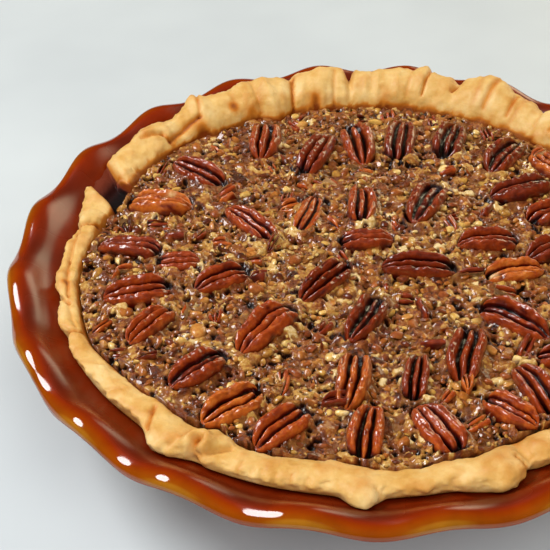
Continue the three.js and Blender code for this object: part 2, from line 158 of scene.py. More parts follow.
# Pecan halves on top: x, y, bearing of the long axis, length, width, height.
PECANS = [
    [-46.5, 79.5, 90, 28, 15, 6.5], [-22, 69, 70, 32, 14, 7], [-4, 78, 102, 32, 15, 7],
    [15, 82, 84, 31, 15, 6], [37.5, 82, 75, 28, 15, 6.5], [61, 70, 57, 27, 15, 7],
    [67, 45, 22, 30, 15, 7], [79, 29, 25, 26, 14, 6.5], [-74, 54, -32, 28, 14, 6],
    [-88, 29.5, -3, 28, 15, 7], [-48, 18, -43, 29, 13, 6], [-96, 0, -3, 27, 14, 5.5],
    [-75, -8, 3, 18, 11, 4], [-88, -27.5, 18, 28, 14, 6.5], [-56, -18, 30, 24, 13, 6],
    [-80.5, -46.5, 55, 24, 12, 6.5], [-24, 26, 76, 26, 11, 3.6], [-2, 32.5, 90, 25, 13, 6.5],
    [25, 34.5, 70, 29, 15, 7], [0.5, 7.5, 6, 24, 12, 6], [50, 8.5, 7, 25, 13, 6.5],
    [76, 5, 35, 27, 14, 6.5], [22, -8.5, 0, 31, 13, 7], [59, -10.5, 12, 24, 12, 6],
    [-15.5, -18.5, 54, 30, 13, 7], [1, -39.5, 68, 28, 13, 7], [57, -38.5, -35, 30, 14, 6.5],
    [-36, -47, 55, 32, 15, 7.5], [38, -58, 78, 29, 14, 7], [19.3, -70.5, 83, 24, 10, 6],
    [-3, -73, 83, 28, 13, 7], [62, -75, -63, 26, 13, 6.5], [2, -97.5, 83, 25, 13, 7],
    [26.5, -94.5, -58, 24, 16, 5.5], [51.5, -86, -38, 22, 12, 6], [-27, -96.5, 48, 25, 14, 6],
    [-59.5, -69.5, 46, 25, 14, 7], [-45.5, -87, 40, 25, 14, 6.5],
    [81, 61.5, -50, 26, 13, 6.5], [98.5, 30, -72, 25, 13, 6], [97, 3.5, 80, 26, 14, 7],
    [88, -18, 15, 27, 14, 6.5], [94, -44, 66, 28, 14, 6.5], [75.5, -60, -15, 25, 13, 6],
]


# ---- small helpers
def smoothstep(low, high, value):
    share = np.clip((value - low) / (high - low), 0, 1)
    return share * share * (3 - 2 * share)


def mix(a, b, share):
    return a + (b - a) * share


def bell(distance, half_width):
    return np.exp(-((distance / half_width) ** 2))


def dome(share, power, least=0):
    """A round section: 1 in the middle, falling to its least at share 1."""
    return np.clip(1 - share ** power, least, 1) ** 0.5


def turn_between(a, b):
    return np.abs((a - b + 540) % 360 - 180)


def polar(radius, bearing):
    angle = np.radians(bearing)
    return radius * np.cos(angle), radius * np.sin(angle)


def about(axis, angle):
    return Matrix.Rotation(angle, 3, axis)


def fractal(points, size, octaves, shift=0):
    """Smooth noise at each point, about -1 to 1; size is the width of its swells."""
    places = points / size + shift
    values = [noise.fractal(Vector(place), 1, 2, octaves) for place in places.reshape(-1, 3)]
    return np.array(values).reshape(places.shape[:-1])


def smooth_path(points, steps):
    """A curve through the points of axis 0, with so many steps between two of them."""
    points = np.asarray(points)
    first, last = 2 * points[:1] - points[1:2], 2 * points[-1:] - points[-2:-1]
    padded = np.concatenate([first, points, last])
    rows = []
    for k in range(len(points) - 1):
        a, b, c, d = padded[k:k + 4]
        for t in np.arange(steps) / steps:
            rows.append(b + 0.5 * t * (
                c - a + t * (2 * a - 5 * b + 4 * c - d + t * (3 * (b - c) + d - a))))
    rows.append(points[-1])
    return np.array(rows)


def loft(rings):
    """Points and faces of the skin through equal rings, closed at both ends."""
    rows, count = rings.shape[:2]
    points = np.concatenate([rings.reshape(-1, 3), rings[[0, -1]].mean(1)])
    near = np.arange(count)
    far = np.roll(near, -1)
    faces = []
    for row in range(rows - 1):
        low, high = row * count, (row + 1) * count
        faces += np.stack([low + near, low + far, high + far, high + near], 1).tolist()
    end, top = rows * count, (rows - 1) * count
    for middle, a, b in (end, far, near), (end + 1, top + near, top + far):
        faces += np.stack([0 * a + middle, a, b], 1).tolist()
    return points, faces


def capped(values, at_caps=0):
    """Values at a loft's points, with those of its two caps."""
    return np.concatenate([values.ravel(), [at_caps, at_caps]])


def add_object(name, data):
    made = bpy.data.objects.new(name, data)
    bpy.context.scene.collection.objects.link(made)
    return made


def add_mesh(name, points, faces, material):
    """A mesh object from points in mm."""
    mesh = bpy.data.meshes.new(name)
    mesh.from_pydata((np.asarray(points) * MM).tolist(), [], faces)
    mesh.materials.append(material)
    return add_object(name, mesh)


def add_piece(name, points, faces, material, nodes, marks, sharp=None):
    """A piece of the object; marks are values at its points, for shading."""
    piece = add_mesh(name, points, faces, material)
    piece.data.shade_smooth()
    if sharp:
        piece.data.set_sharp_from_angle(angle=radians(sharp))
    for mark, values in marks.items():
        layer = piece.data.attributes.new(mark, "FLOAT", "POINT")
        layer.data.foreach_set("value", np.asarray(values, np.float32))
    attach(piece, BODY)
    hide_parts(*nodes)


# ---- material helpers
def colour(code):
    """The linear colour of a code such as #8a2c00."""
    parts = [int(code[k:k + 2], 16) / 255 for k in (1, 3, 5)]
    return [p / 12.92 if p <= 0.04045 else ((p + 0.055) / 1.055) ** 2.4 for p in parts] + [1]


# Sockets of the Mix node when it mixes colours.
MIX_SHARE, MIX_FIRST, MIX_SECOND, MIX_RESULT = 0, 6, 7, 2


class Paint:
    """A Principled shader and the few nodes that drive it."""

    def __init__(self, name, **sockets):
        self.material = bpy.data.materials.new(name)
        self.material.use_nodes = True
        self.tree = self.material.node_tree
        self.shader = self.tree.nodes["Principled BSDF"]
        for socket, value in sockets.items():
            self.plug(self.shader, socket.replace("_", " "), value)

    def plug(self, node, socket, value):
        if isinstance(value, bpy.types.NodeSocket):
            self.tree.links.new(value, node.inputs[socket])
        else:
            node.inputs[socket].default_value = value

    def node(self, kind, inputs, **settings):
        made = self.tree.nodes.new("ShaderNode" + kind)
        for key, value in settings.items():
            setattr(made, key, value)
        for socket, value in inputs.items():
            self.plug(made, socket, value)
        return made

    def drive(self, socket, value):
        self.plug(self.shader, socket, value)

    def mark(self, name):
        return self.node("Attribute", {}, attribute_name=name).outputs["Fac"]

    def noise(self, size, detail, rough=0.55):
        """Noise from 0 to 1; size is the width of its swells."""
        where = self.node("TexCoord", {}).outputs["Object"]
        return self.node("TexNoise", {
            "Vector": where, "Scale": 1 / (size * MM), "Detail": detail,
            "Roughness": rough}).outputs["Fac"]

    def ramp(self, value, stops):
        """Colours along a value: {position: colour code or grey level}."""
        made = self.node("ValToRGB", {"Fac": value})
        points = made.color_ramp.elements
        while len(points) < len(stops):
            points.new(0.5)
        for point, (position, shade) in zip(points, sorted(stops.items())):
            point.position = position
            point.color = colour(shade) if isinstance(shade, str) else [shade] * 3 + [1]
        return made.outputs["Color"]

    def blend(self, share, a, b, how="MIX"):
        inputs = {MIX_SHARE: share, MIX_FIRST: a, MIX_SECOND: b}
        return self.node("Mix", inputs, data_type="RGBA", blend_type=how).outputs[MIX_RESULT]

    def maths(self, how, a, b):
        return self.node("Math", {0: a, 1: b}, operation=how).outputs[0]

    def speckled_tone(self, size, detail, rough, strength):
        """The tone that each bit has, with finer speckles on it."""
        speckle = self.maths("SUBTRACT", self.noise(size, detail, rough), 0.5)
        return self.maths("ADD", self.mark("tone"), self.maths("MULTIPLY", speckle, strength))

    def bump(self, height, depth, strength, under=None):
        """A bump so deep, from a 0 to 1 height, on top of another one."""
        inputs = {"Height": height, "Distance": depth * MM, "Strength": strength}
        if under:
            inputs["Normal"] = under
        normal = self.node("Bump", inputs).outputs[0]
        self.drive("Normal", normal)
        return normal


# ---- materials
# Browns of chopped pecan by tone, from dark skin to pale flesh.
NUT_STOPS = {0: "#340e04", 0.2: "#5e260c", 0.4: "#864418", 0.55: "#a06428", 0.7: "#ba863a",
             0.85: "#d2a85e", 1: "#e8ca90"}


def glaze_material():
    """Amber glaze over brown stoneware: deep red-brown where it pools, with painted shade in the
    hollow by the crust; thin at the edge.
    """
    paint = Paint("amber_glaze", IOR=1.5, Specular_IOR_Level=0.55)
    # Dark where the mark is low: the glaze's own pooling, and painted shade in the flange's
    # hollow by the crust.
    pooled_and_shaded = paint.ramp(paint.mark("thin_unshaded"), {
        0: "#480e00", 0.3: "#842600", 0.6: "#8e3902", 0.9: "#904804", 1: "#a06816"})
    paint.drive("Roughness", paint.ramp(paint.mark("thin_unshaded"), {0.15: 0.3, 0.3: 0.2, 0.55: 0.06}))
    mottle = paint.ramp(paint.noise(9, 4), {0.3: "#a8401a", 0.7: "#ffe0b0"})
    paint.drive("Base Color", paint.blend(0.35, pooled_and_shaded, mottle, "MULTIPLY"))
    paint.bump(paint.noise(14, 2), 0.25, 0.25)
    return paint.material


def pastry_material():
    """Baked shortcrust: pale gold, browner where it met the filling and in its folds; the brown
    in its creases and at the split is partly painted shade.
    """
    paint = Paint("baked_pastry", Specular_IOR_Level=0.3, Subsurface_Weight=0.12,
                  Subsurface_Scale=0.004, Subsurface_Radius=(1, 0.55, 0.25),
                  Coat_Weight=0.08, Coat_Roughness=0.35)
    pale = paint.ramp(paint.noise(11, 5, 0.6), {
        0.25: "#be8839", 0.42: "#cf9f54", 0.58: "#d9b16c", 0.75: "#e2c387"})
    # Browning of the crust: real toast, and painted shade in creases, the curl's hole and at the
    # split.
    browned_and_shaded = paint.ramp(paint.mark("toast_and_shade"), {0: "#ffffff", 0.45: "#e4b068", 1: "#8a4a18"})
    skin = paint.blend(1, pale, browned_and_shaded, "MULTIPLY")
    gap_shade = paint.mark("gap_shade")
    # Painted shade deep in the split: near black inside, brown further out.
    split_shade = paint.ramp(gap_shade, {0.5: "#6e2c18", 0.7: "#2c0a05", 0.95: "#090000"})
    paint.drive("Base Color", paint.blend(paint.ramp(gap_shade, {0.1: 0, 0.4: 1}), skin, split_shade))
    paint.drive("Roughness", paint.ramp(gap_shade, {0: 0.55, 0.5: 0.95}))
    crumb = paint.bump(paint.noise(1.6, 4, 0.65), 0.45, 0.6)
    paint.bump(paint.noise(5, 3), 0.7, 0.45, crumb)
    return paint.material


def custard_material():
    """Set syrup over chopped nut: each bit its own brown, film between, painted shade near black
    in the holes and under the halves.
    """
    paint = Paint("syrup_custard", Roughness=0.4, Specular_IOR_Level=0.4, Coat_Weight=0.8,
                  Coat_Roughness=0.06)
    body = paint.ramp(paint.speckled_tone(1.5, 4, 0.55, 0.9), NUT_STOPS)
    film = paint.ramp(paint.noise(4, 4, 0.65), {0.3: "#461e08", 0.5: "#723f19", 0.75: "#9a6c30"})
    body = paint.blend(paint.mark("film"), body, film)
    # Painted shade: near black in the holes and under the pecan halves.
    deep = paint.ramp(paint.mark("hole_shade"), {0: "#ffffff", 0.5: "#44140a", 1: "#120200"})
    paint.drive("Base Color", paint.blend(1, body, deep, "MULTIPLY"))
    paint.bump(paint.noise(0.9, 3, 0.65), 0.6, 0.9)
    return paint.material


def bit_material(name, stops):
    """Chopped nut under syrup, in a range of colours; each bit has its own tone."""
    paint = Paint(name, Roughness=0.34, Specular_IOR_Level=0.4, Coat_Weight=0.6,
                  Coat_Roughness=0.08, Subsurface_Weight=0.06, Subsurface_Scale=0.002)
    body = paint.ramp(paint.speckled_tone(1.3, 4, 0.55, 0.8), stops)
    film = paint.ramp(paint.noise(3, 4), {0.35: "#441c06", 0.65: "#804814"})
    paint.drive("Base Color", paint.blend(paint.mark("film"), body, film))
    paint.bump(paint.noise(0.9, 3), 0.3, 0.6)
    return paint.material


def pecan_material():
    """Roasted pecan: mahogany ridges with fine veins, painted shade in the dark grooves, a coat
    of syrup.
    """
    paint = Paint("roasted_pecan", Roughness=0.34, Specular_IOR_Level=0.5, Coat_Weight=1,
                  Coat_Roughness=0.15)
    ridge = paint.ramp(paint.speckled_tone(2.4, 5, 0.6, 0.7), {
        0.05: "#3c0e04", 0.35: "#7a2608", 0.55: "#a03e0f", 0.75: "#c4661f", 0.95: "#dc9442"})
    # Painted shade in the grooves, down to near black.
    groove_shade = paint.ramp(paint.mark("groove_shade"), {0: "#ffffff", 0.4: "#8a4838", 1: "#100402"})
    skin = paint.blend(1, ridge, groove_shade, "MULTIPLY")
    flesh = paint.ramp(paint.noise(1.6, 3), {0.3: "#b07838", 0.7: "#ecc48c"})
    paint.drive("Base Color", paint.blend(paint.mark("flesh"), skin, flesh))
    paint.bump(paint.noise(1.1, 3), 0.4, 0.6)
    return paint.material


def floor_material():
    paint = Paint("pale_floor", Roughness=0.5)
    paint.drive("Base Color", paint.ramp(paint.noise(160, 3), {0.3: "#bcc2c4", 0.7: "#cad0d1"}))
    return paint.material


# ---- dish
BEARINGS = np.arange(0, 360, 0.5)
DISH_STEPS = 6  # rings for each stretch of the profile
# The glaze runs thin over these radii and heights, the heights from RIM_Z.
THIN_RADII, THIN_HEIGHTS = (134, 142.3), (-3, -0.6)
# How thin it is in all, and how much more so on the lip and on a wave's crest.
THIN_ALL, THIN_ON_LIP, THIN_ON_WAVE = 0.18, 0.75, 0.12


def ruffle(radius, height, share, bearing):
    turn = np.radians(RUFFLES * (bearing - RUFFLE_PHASE))
    lift = share * RUFFLE_LIFT * np.cos(turn + radians(RUFFLE_LAG))
    return radius + share * RUFFLE_SWING * np.cos(turn), height + lift


def make_dish(material):
    profile = smooth_path(DISH_FOOT + DISH_LIP + DISH_INSIDE, DISH_STEPS)
    radius, height, share = profile.T[..., None]
    r, z = ruffle(radius, height, share, BEARINGS)
    x, y = polar(r, BEARINGS)
    fit = min(1, CAD_REACH / max(np.abs(x).max(), np.abs(y).max()))
    points, faces = loft(np.stack([fit * x, fit * y, z], 2))
    wave = (z - height) / RUFFLE_LIFT
    on_lip = smoothstep(*THIN_RADII, radius) ** 2 * smoothstep(*THIN_HEIGHTS, height - RIM_Z)
    # Low values darken the flange's hollow: pooled glaze, and painted shade by the crust.
    thin_unshaded = np.clip(THIN_ALL + THIN_ON_LIP * on_lip + THIN_ON_WAVE * wave, 0, 1)
    add_piece("dish_glazed", points, faces, material, ["dish"], {"thin_unshaded": capped(thin_unshaded)})


def dish_surface(radius, bearing):
    """Height of the dish's inner surface, on its wall or flange."""
    radii, heights, shares = np.transpose(DISH_INSIDE[::-1] + DISH_LIP[:3:-1])
    height, share = np.interp(radius, radii, heights), np.interp(radius, radii, shares)
    return ruffle(radius, height, share, bearing)[1]


# ---- pastry
# Degrees between its sections, and those on the stretch with the split.
CRUST_STEP, SPLIT_STEP, SPLIT_STRETCH = 0.36, 0.22, (150, 169)
SECTION_STEPS = 7  # points for each stretch of a section
PLEAT_SIZE, LUMP_SIZE, CRUMB_SIZE = 7, 9, 3  # widths of its swells, mm
PLEAT_DEPTH, LUMP_DEPTH, CRUMB_DEPTH = 0.8, 0.9, 0.3
RAGGED = 0.6  # how far crumbs roughen the outer edge
LINE_REACH = 12  # degrees to either side that a line can reach
# Depth of the curl's hole, height of its ridge, and the painted shade in the hole.
CURL_HOLE, CURL_RIDGE, CURL_SHADE = 3, 2.2, 0.55
SPLIT_SHADE_BLACK, SPLIT_SHADE_BROWN = 114, 127  # between these radii the painted shade in the split turns from near black to brown
TOAST_FRONT, TOAST_BACK, SHADE_AT_SPLIT = 0.5, 0.9, 0.6  # browning at the filling, and painted shade at the split


def rim_at(bearing):
    """Inner radius, outer radius and crest height of the pastry rim at each bearing."""
    bearing = np.asarray(bearing, float) % 360
    course = np.array(RIM_COURSE + [[360] + RIM_COURSE[0][1:]])
    row = np.searchsorted(course[:, 0], bearing, "right") - 1
    here, after = course[row], course[row + 1]
    along = smoothstep(here[..., 0], after[..., 0], bearing)
    inner, outer, crest = (mix(here[..., k], after[..., k], along) for k in (1, 2, 3))
    for at, half_width, out, up, inward in RIM_FOLDS:
        share = bell(turn_between(bearing, at), half_width)
        outer += out * share
        crest += up * share
        inner -= inward * share
    return inner, outer, crest


def split_distance(radius, bearing):
    """How far a point of the rim lies outside the split."""
    (first, far), (last, _), (last_in, near), (first_in, _) = SPLIT_CORNERS
    along = np.clip((far - radius) / (far - near), 0, 1)
    low, high = mix(first, first_in, along), mix(last, last_in, along)
    off_middle = turn_between(bearing, (low + high) / 2) - (high - low) / 2
    return radius * np.radians(off_middle)


def crust_controls(bearing):
    """Section of the rim at each bearing, from its seat over the crest to the filling."""
    inner, outer, crest = rim_at(bearing)
    seat_r = np.minimum(SEAT_RADIUS, outer - SEAT_INSET)
    seat_z = dish_surface(seat_r, bearing) + 3 * GAP
    edge_r = outer - EDGE_INSET
    edge_z = np.maximum(dish_surface(edge_r, bearing) + 2 * GAP, seat_z + EDGE_RISE)
    rows = [(seat_r, seat_z), (edge_r, edge_z)]
    base = np.maximum(FILL_Z, edge_z)
    for across, rise in RIM_PROFILE:
        height = mix(FILL_Z, base, across) + rise * crest
        rows.append((mix(inner, outer, across), np.maximum(height, edge_z + 1)))
    rows.append((inner, 0 * inner + FILL_Z - INNER_DROP))
    return np.array(rows).transpose(0, 2, 1)


def rim_lines(draw):
    """The rim's lines, with random ones where the photo ends."""
    lines = list(RIM_LINES)
    for bearing in np.linspace(UNSEEN_FROM, UNSEEN_TO, UNSEEN_LINES):
        start = bearing + draw.uniform(-1.5, 1.5)
        deep = draw.choice([-0.8, 0.7, 1.5])
        lines.append([start, draw.uniform(0.75, 1.05), start + draw.uniform(-1.5, 1.5),
                      draw.uniform(0.1, 0.4), draw.uniform(0.8, 1.8), deep, max(0.3 * deep, 0)])
    return lines


def distance_to_line(place, start, end):
    """Distance of places in a plane from the line between two others."""
    run = end - start
    along = np.clip(((place - start) @ run) / (run @ run), 0, 1)
    return np.linalg.norm(place - start - along[..., None] * run, axis=-1)


def detail_rim(bearing, width, flat, sunk, draw):
    """Sinks the lines and the curl into the rim and returns how brown it is: toast, and painted
    shade in the creases and the curl's hole. flat holds its points unrolled: along and across
    it."""
    brown_and_shade = np.zeros(sunk.shape)

    def on_flat(at, across):
        wide = np.interp(at % 360, bearing, width)
        return np.array([radians(at) * SEAT_RADIUS, across * wide])

    for at, across, at_end, across_end, half_width, deep, dark in rim_lines(draw):
        near = np.flatnonzero(turn_between(bearing, (at + at_end) / 2) < LINE_REACH)
        if at < 0:
            at, at_end = at + 360, at_end + 360
        part = np.s_[:, near]
        away = distance_to_line(flat[part], on_flat(at, across), on_flat(at_end, across_end))
        sunk[part] += deep * bell(away, half_width)
        brown_and_shade[part] += dark * bell(away, 0.9 * half_width)

    at, across, curl_radius, half_width = RIM_CURL
    off = flat - on_flat(at, across)
    ridge = bell(np.linalg.norm(off, axis=2) - curl_radius, half_width)
    under = bell(np.hypot(off[..., 0], np.minimum(off[..., 1], 0)), 0.32 * curl_radius)
    beyond = off[..., 1] / curl_radius
    sunk += CURL_HOLE * under * smoothstep(2.6, 0.2, beyond)
    sunk -= CURL_RIDGE * smoothstep(1.1, 0.1, beyond) * ridge
    # Painted shade in the hole under the curl.
    brown_and_shade += CURL_SHADE * under * smoothstep(1.6, 0.1, beyond)
    for at, across, spot, dark in RIM_SPOTS:
        away = np.linalg.norm(flat - on_flat(at, across), axis=2)
        brown_and_shade += dark * bell(away, spot)
    return brown_and_shade


def open_split(radius, angle, share, height, lumps):
    """Heights with the split in them, the distance from it, and where it gapes."""
    apart = split_distance(radius, angle) - SPLIT_CUT_BACK * smoothstep(0.45, 0, share)
    parted = radius > SPLIT_REACH
    floor = np.maximum(dish_surface(radius, angle) + SPLIT_CLEAR, FILL_Z - SPLIT_DEPTH)
    rise = np.where(parted, dome(1 - np.clip(apart / SPLIT_ROUND, 0, 1), 2), 1)
    height = mix(np.minimum(height, floor + 0.35 * lumps), height, rise)
    return height, apart, smoothstep(0.7, 0, apart) * parted


def make_crust(material, draw):
    bearing = np.sort(np.concatenate([
        np.arange(0, 360, CRUST_STEP), np.arange(*SPLIT_STRETCH, SPLIT_STEP)]))
    section = smooth_path(crust_controls(bearing), SECTION_STEPS)
    round_it = np.ones((len(bearing), 1))
    outside, inside = (np.array(s)[:, None] * round_it for s in (SHELL_OUTSIDE, SHELL_INSIDE))
    radius, height = np.moveaxis(np.concatenate([outside, section, inside]), 2, 0)
    angle = 0 * radius + bearing
    inner, outer, _ = rim_at(bearing)
    width = outer - inner
    share = (radius - inner) / width

    places = np.stack([*polar(radius, angle), height], 2)
    on_rim = smoothstep(FILL_Z - 2, FILL_Z + 1.5, height)
    pleat = fractal(places * [1, 1, 0.25], PLEAT_SIZE, 2)
    lumps = fractal(places, LUMP_SIZE, 3, 7.3)
    crumbs = fractal(places, CRUMB_SIZE, 2, 3.1)
    sunk = -LUMP_DEPTH * lumps - CRUMB_DEPTH * crumbs
    flat = np.stack([np.radians(angle) * SEAT_RADIUS, share * width], 2)
    brown_and_shade = detail_rim(bearing, width, flat, sunk, draw)

    outward = np.clip(2 * (share - 0.55), -0.8, 1.2)
    ragged = RAGGED * crumbs * smoothstep(0.7, 1, share)
    radius += on_rim * (PLEAT_DEPTH * pleat + ragged - 0.7 * sunk * outward)
    height -= on_rim * sunk * (1 - 0.35 * np.abs(outward))
    height, apart, gone = open_split(radius, angle, share, height, lumps)
    # Painted shade on the rim's faces at the split.
    brown_and_shade += SHADE_AT_SPLIT * bell(apart, 1.8)
    over = np.maximum(height - CAD_TOP + TOP_EASE, 0)
    height = height - over + TOP_EASE * np.tanh(over / TOP_EASE)

    points, faces = loft(np.stack([*polar(radius, angle), height], 2))
    back = smoothstep(-0.2, 0.5, np.sin(np.radians(angle)))
    patchy = smoothstep(-0.5, 0.4, pleat + crumbs)
    at_filling = bell(np.maximum(height - FILL_Z, 0), mix(0.9, 1.3, back) * (0.6 + patchy))
    toast_and_shade = at_filling * smoothstep(0.55, 0.1, share) * mix(TOAST_FRONT, TOAST_BACK, back)
    # Toast at the filling and on lumps, plus the brown of lines, curl, spots and split, partly
    # painted shade.
    toast_and_shade = np.clip(toast_and_shade + brown_and_shade * on_rim + 0.3 * np.clip(lumps, 0, 1), 0, 1)
    # Painted shade in the split, near black inside and brown further out.
    gap_shade = gone * mix(1, 0.5, smoothstep(SPLIT_SHADE_BLACK, SPLIT_SHADE_BROWN, radius))
    marks = {"toast_and_shade": capped(toast_and_shade), "gap_shade": capped(gap_shade)}
    add_piece("crust_baked", points, faces, material, ["crust"], marks)


# ---- filling
SEED = 11
FILL_RADIUS = 112  # mean radius of the filling's top
CUSTARD_RINGS = 171
CUSTARD_STEP = 0.66  # spacing of the points on a ring
CUSTARD_SKIRT = 7  # how far its side reaches down
MAP_CELL = 0.4  # cell of the custard's relief map
MAP_REACH = 116  # half width of that map
SCATTER_RADIUS = 115.6  # bits and holes lie within it
# Bits pressed into the custard: how many, their least and greatest length.
PRESSED_BITS = [[500, 5, 8.5], [2600, 2.8, 5.2], [6000, 1.5, 3]]
CUTS = 5  # flat sides of a bit
BIT_FOOT = -1.2  # where a bit's sides start
HOLES, HOLE_DEPTH = 3000, 2.6
SWELL_SIZE, SWELL_HEIGHT = 13, 0.6
LEAVES_FROM, LEAVES_TO = -0.9, -2.3  # the custard sinks so far inside a half
HALF_REACH, HALF_WAIST = 0.42, 0.46  # a half's outline, as shares of its size


def relief_at(x, y):
    """The slow waves of the CAD filling's top."""
    return -0.45 * (1 + np.sin(0.21 * x + 1.3) * np.sin(0.19 * y + 0.4))


def from_rim(x, y):
    """How far inside the pastry rim a point of the filling lies."""
    return rim_at(np.degrees(np.arctan2(y, x)))[0] - np.hypot(x, y)


def from_axis(x, y, pecan, reach):
    """Distance from a pecan half's long axis, taken so far to either side of its middle."""
    px, py, turn = pecan[:3]
    dx, dy = cos(radians(turn)), sin(radians(turn))
    along = np.clip((x - px) * dx + (y - py) * dy, -reach, reach)
    return np.hypot(x - px - along * dx, y - py - along * dy)


def from_pecans(x, y):
    """Rough distance from the nearest pecan half's outline; below 0 under it."""
    return np.min([
        from_axis(x, y, pecan, HALF_REACH * pecan[3] - 0.2 * pecan[4]) - HALF_WAIST * pecan[4]
        for pecan in PECANS], axis=0)


def pick_tone(x, y, draw):
    """Tone of a bit: dark skin near 0, pale flesh near 1; like tones lie in drifts."""
    drift = float(noise.fractal(Vector((x / 16, y / 16, 2.5)), 1, 2, 2))
    return min(max(0.5 + 0.25 * drift + draw.normal() * 0.23, 0.02), 1)


class ReliefMap:
    """What lies over the filling's level on a square grid: height, tone and holes."""

    def __init__(self):
        steps = np.arange(-MAP_REACH, MAP_REACH + MAP_CELL, MAP_CELL)
        self.x, self.y = np.meshgrid(steps, steps, indexing="ij")
        swell = fractal(np.stack([self.x, self.y, 0 * self.x], 2), SWELL_SIZE, 2, 4)
        self.level = relief_at(self.x, self.y) + SWELL_HEIGHT * swell
        self.height = np.full(self.x.shape, -1.0)
        self.tone = np.full(self.x.shape, 0.4)
        self.hole_shade = np.zeros(self.x.shape)

    def window(self, x, y, reach):
        """The cells round a place, and how far each is from it in x and y."""
        low = [max(int((v - reach + MAP_REACH) / MAP_CELL), 0) for v in (x, y)]
        high = [int((v + reach + MAP_REACH) / MAP_CELL) + 2 for v in (x, y)]
        part = np.s_[low[0]:high[0], low[1]:high[1]]
        return part, self.x[part] - x, self.y[part] - y

    def press_bit(self, x, y, length, draw):
        """One chopped bit with cut sides and a tilted top, where it stands highest."""
        part, dx, dy = self.window(x, y, 0.75 * length)
        turn = draw.uniform(0, tau)
        width = length * draw.uniform(0.5, 0.9)
        along = 2 * (dx * cos(turn) + dy * sin(turn)) / length
        across = 2 * (dy * cos(turn) - dx * sin(turn)) / width
        far = 0.8 * np.hypot(along, across)
        for side in draw.uniform(0, tau, CUTS):
            cut = (along * cos(side) + across * sin(side)) / draw.uniform(0.75, 1)
            far = np.maximum(far, cut)
        lean = draw.uniform(-0.12, 0.12, 2) * length
        top = draw.uniform(-0.1, 0.6 + 0.14 * length) + lean[0] * along + lean[1] * across
        rise = BIT_FOOT + (top - BIT_FOOT) * smoothstep(1.12, 0.82, far)
        higher = rise > self.height[part]
        self.height[part] = np.where(higher, rise, self.height[part])
        self.tone[part] = np.where(higher, pick_tone(x, y, draw), self.tone[part])

    def press_hole(self, x, y, size, draw):
        part, dx, dy = self.window(x, y, 1.3 * size)
        away = np.hypot(dx * draw.uniform(0.75, 1.25), dy) / size
        self.hole_shade[part] = np.maximum(self.hole_shade[part], smoothstep(1.15, 0.5, away))


def sample(layer, x, y):
    """Values of one layer of the map at points between its cells."""
    i, j = (x + MAP_REACH) / MAP_CELL, (y + MAP_REACH) / MAP_CELL
    row, column = np.floor(i).astype(int), np.floor(j).astype(int)
    near, far = (mix(layer[row, k], layer[row + 1, k], i - row) for k in (column, column + 1))
    return mix(near, far, j - column)


def somewhere(draw):
    return polar(SCATTER_RADIUS * sqrt(draw.random()), 360 * draw.random())


def make_relief(draw):
    relief = ReliefMap()
    for count, least, greatest in PRESSED_BITS:
        for _ in range(count):
            relief.press_bit(*somewhere(draw), draw.uniform(least, greatest), draw)
    for _ in range(HOLES):
        relief.press_hole(*somewhere(draw), 0.5 + 1.2 * draw.random() ** 2, draw)
    return relief


def stitch(rings):
    """Faces between rings of unequal counts, given as lists of point numbers."""
    faces = []
    for low, high in zip(rings, rings[1:]):
        n, m = len(low), len(high)
        i = j = 0
        low_steps = n if n > 1 else 0
        while i < low_steps or j < m:
            if j >= m or (i < low_steps and (i + 1) / n <= (j + 1) / m):
                faces.append([low[i], high[j % m], low[(i + 1) % n]])
                i += 1
            else:
                faces.append([low[i % n], high[j], high[(j + 1) % m]])
                j += 1
    return faces


def custard_level(x, y, relief):
    """Height of the syrup film between the bits; it climbs at pecans and at the rim."""
    climb = 1.7 * bell(np.maximum(from_pecans(x, y), 0), 2) + 0.6 * bell(from_rim(x, y), 1.5)
    return FILL_Z + sample(relief.level, x, y) + climb


def make_custard(material, relief):
    places, rings = [[[0.0, 0.0]]], [[0]]
    start = 1
    for k in range(1, CUSTARD_RINGS + 1):
        share = k / CUSTARD_RINGS
        steps = max(6, round(tau * FILL_RADIUS * share / CUSTARD_STEP))
        bearing = (np.arange(steps) + 0.5 * (k % 2)) * 360 / steps
        radius = share * (rim_at(bearing)[0] - GAP)
        places.append(np.stack(polar(radius, bearing), 1))
        rings.append(list(range(start, start + steps)))
        start += steps
    x, y = np.concatenate(places).T
    bits = sample(relief.height, x, y)
    # Where a half covers it, the custard sinks and is painted near black as shade.
    covered = smoothstep(LEAVES_FROM, LEAVES_TO, from_pecans(x, y))
    hole_shade = np.maximum(sample(relief.hole_shade, x, y) * (1 - covered), covered)
    over = np.logaddexp(5 * bits, 0) / 5
    z = custard_level(x, y, relief) + over * (1 - covered) - HOLE_DEPTH * hole_shade
    points = np.stack([x, y, z], 1)

    base = FILL_Z - CUSTARD_SKIRT
    rim = points[rings[-1]] * [1, 1, 0] + [0, 0, base]
    skirt = list(range(start, start + len(rim)))
    points = np.concatenate([points, rim, [[0, 0, base]]])
    faces = stitch(rings + [skirt])
    faces += [[skirt[k], start + len(rim), skirt[(k + 1) % len(rim)]] for k in range(len(rim))]
    faces = [face[::-1] for face in faces]
    film = 0.05 + 0.8 * smoothstep(0.3, -0.3, bits)
    marks = {"hole_shade": hole_shade, "tone": sample(relief.tone, x, y), "film": film}
    marks = {mark: np.pad(values, (0, len(rim) + 1)) for mark, values in marks.items()}
    add_piece("custard_top", points, faces, material, ["filling"], marks)


# Chopped bits fused to the CAD filling, by its own rule: length and how many places are
# tried, on a sunflower spiral for each length.
BIT_SIZES = [[10, 70], [7.5, 220], [5.5, 310]]
AXIS_REACH = 0.36  # share of a half's length that its long axis counts for
SPIRAL_RADIUS, SPIRAL_TURN, SIZE_TURN = 113, 137.508, 47
BIT_CLEARANCE, RIM_CLEARANCE = 0.5, 1


